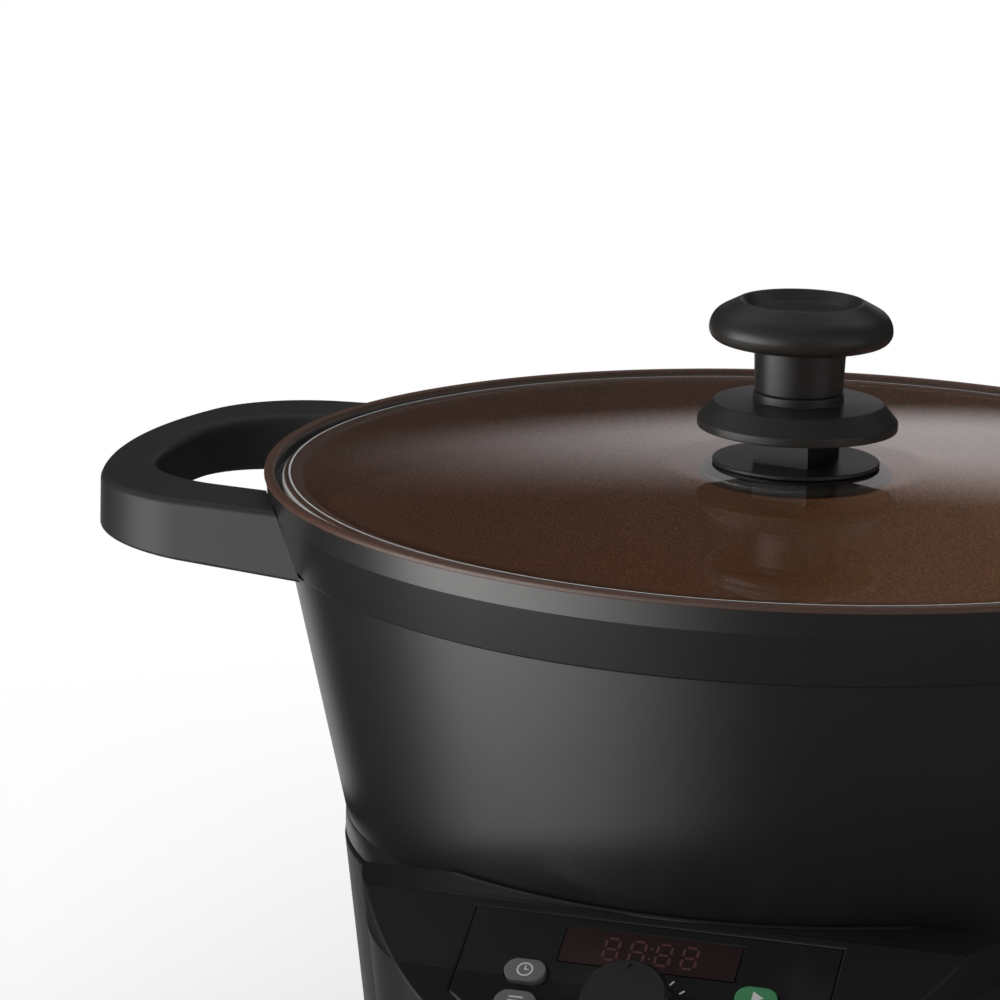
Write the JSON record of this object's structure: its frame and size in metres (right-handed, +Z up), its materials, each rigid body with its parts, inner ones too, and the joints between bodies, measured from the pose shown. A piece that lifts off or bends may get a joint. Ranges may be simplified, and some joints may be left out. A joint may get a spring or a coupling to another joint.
{
  "type": "multicooker",
  "caption": "Round countertop multicooker: a cast pot with loop handles and a lift-off glass lid with a knob, standing in an electric base with a sloped panel, dial, display and keys.",
  "frame": {"origin": "on the table under the pot's axis", "axes": "+Z up along the pot's axis, -Y towards the user and the controls, +X along the handles to the user's right"},
  "size_m": [0.3834, 0.3138, 0.2485],
  "materials": {
    "clear_glass": "clear tempered glass, polished edge",
    "knob_plastic": "black satin heat-proof plastic",
    "seal_silicone": "black silicone",
    "screw_steel": "plated steel",
    "pot_coating": "black semi-gloss outside, copper-brown metallic non-stick inside and over the lip",
    "handle_plastic": "black fine-grained heat-proof plastic",
    "base_plastic": "black matte plastic",
    "cowl_gloss": "black polished plastic",
    "panel_gloss": "black polished plastic",
    "window_tint": "dark tinted window",
    "dark_plastic": "dark moulded plastic",
    "board_resin": "green circuit board",
    "dial_metal": "turned satin metal cap",
    "button_green": "moulded plastic",
    "button_red": "moulded plastic",
    "button_grey": "moulded plastic",
    "liner_sheet": "bright pressed sheet",
    "hotplate_alloy": "turned casting",
    "element_steel": "heat-darkened tube",
    "ivory_plastic": "ivory moulded plastic",
    "cover_plastic": "black grained plastic",
    "foot_rubber": "black rubber"
  },
  "bodies": {
    "base": {"base_housing": "base_plastic", "front_cowl": "cowl_gloss", "control_panel": "panel_gloss", "display_window": "window_tint", "display_module": "dark_plastic", "control_board": "board_resin", "tact_switches": "dark_plastic", "encoder_body": "screw_steel", "board_screws": "screw_steel", "well_liner": "liner_sheet", "hotplate": "hotplate_alloy", "heating_element": "element_steel", "element_terminals": "screw_steel", "hotplate_posts": "screw_steel", "sensor_guide": "dark_plastic", "sensor_spring": "screw_steel", "thermal_fuse": "ivory_plastic", "power_board": "board_resin", "power_relay": "dark_plastic", "terminal_block": "ivory_plastic", "cord_gland": "base_plastic", "gland_nut": "dark_plastic", "bottom_cover": "cover_plastic", "bottom_screws": "screw_steel", "feet": "foot_rubber"},
    "pot": {"pot_shell": "pot_coating", "left_handle": "handle_plastic", "right_handle": "handle_plastic", "handle_screws": "screw_steel"},
    "lid": {"lid_glass": "clear_glass", "knob_grip": "knob_plastic", "knob_flange": "knob_plastic", "knob_seal": "seal_silicone", "knob_backplate": "knob_plastic", "knob_screw": "screw_steel"},
    "dial": {"control_dial": "dial_metal", "dial_shaft": "screw_steel"},
    "start_key": {"start_button": "button_green"},
    "stop_key": {"stop_button": "button_red"},
    "timer_key": {"timer_button": "button_grey"},
    "menu_key": {"menu_button": "button_grey"},
    "sensor": {"sensor_plunger": "hotplate_alloy"}
  },
  "joints": [
    {"name": "pot_lift", "type": "slide", "parent": "base", "child": "pot", "axis": [0, 0, 1], "range_m": [0, 0.15]},
    {"name": "lid_lift", "type": "slide", "parent": "pot", "child": "lid", "axis": [0, 0, 1], "range_m": [0, 0.1]},
    {"name": "dial_turn", "type": "hinge", "parent": "base", "child": "dial", "pos_m": [0, -0.15103, 0.09257], "axis": [0, -0.5736, 0.8192], "continuous": true},
    {"name": "start_press", "type": "slide", "parent": "base", "child": "start_key", "axis": [0, 0.5736, -0.8192], "range_m": [0, 0.0008], "stiffness_N_per_m": 900},
    {"name": "stop_press", "type": "slide", "parent": "base", "child": "stop_key", "axis": [0, 0.5736, -0.8192], "range_m": [0, 0.0008], "stiffness_N_per_m": 900},
    {"name": "timer_press", "type": "slide", "parent": "base", "child": "timer_key", "axis": [0, 0.5736, -0.8192], "range_m": [0, 0.0008], "stiffness_N_per_m": 900},
    {"name": "menu_press", "type": "slide", "parent": "base", "child": "menu_key", "axis": [0, 0.5736, -0.8192], "range_m": [0, 0.0008], "stiffness_N_per_m": 900},
    {"name": "sensor_press", "type": "slide", "parent": "base", "child": "sensor", "axis": [0, 0, -1], "range_m": [0, 0.003], "stiffness_N_per_m": 600, "deforming": ["sensor_spring"]}
  ]
}
